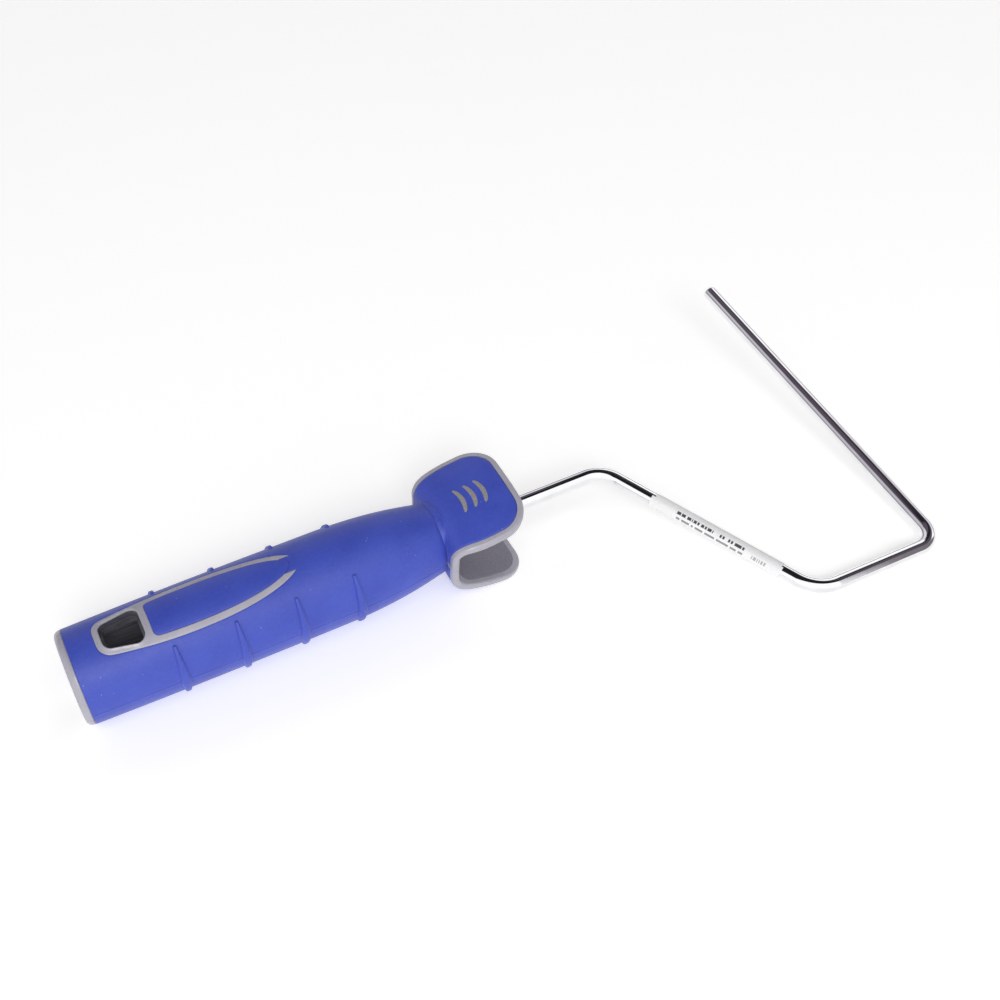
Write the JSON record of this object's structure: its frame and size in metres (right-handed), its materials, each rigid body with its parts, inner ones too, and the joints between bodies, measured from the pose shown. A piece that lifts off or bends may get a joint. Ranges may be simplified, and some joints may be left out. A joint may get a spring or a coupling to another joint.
{
  "type": "paint roller frame",
  "caption": "Hand-held frame for a mini paint roller: soft ribbed grip with a hang hole, flared thumb guard and a bent chromed rod that ends in a bare spindle.",
  "frame": {"origin": "centre of the pole socket's mouth, at the butt end of the handle", "axes": "+X along the handle from the butt to the front, +Y the way the spindle points, +Z out of the thumb side; the rod lies in the XY plane"},
  "size_m": [0.3183, 0.1617, 0.039],
  "materials": {
    "soft_blue": "matte soft-touch thermoplastic rubber, fine spark texture",
    "hard_grey": "satin grey polypropylene with a fine grain",
    "panel_grey": "textured matt dark grey",
    "socket_black": "matt charcoal liner, ribbed along its length",
    "chrome_rod": "bright chrome plate on drawn steel wire",
    "label_paper": "white semi-gloss paper label"
  },
  "bodies": {
    "root": {"handle_core": "hard_grey", "pole_socket": "socket_black", "butt_ring": "hard_grey", "grip_sleeve": "soft_blue", "hang_bezel_top": "hard_grey", "hang_bezel_bottom": "hard_grey", "grip_inlay_top": "soft_blue", "grip_inlay_bottom": "soft_blue", "thumb_guard": "hard_grey", "guard_pad_top": "soft_blue", "guard_pad_bottom": "soft_blue", "guard_marks_top": "hard_grey", "guard_marks_bottom": "hard_grey", "front_panel_top": "panel_grey", "front_panel_bottom": "panel_grey", "roller_rod": "chrome_rod", "paper_label": "label_paper"}
  },
  "joints": []
}
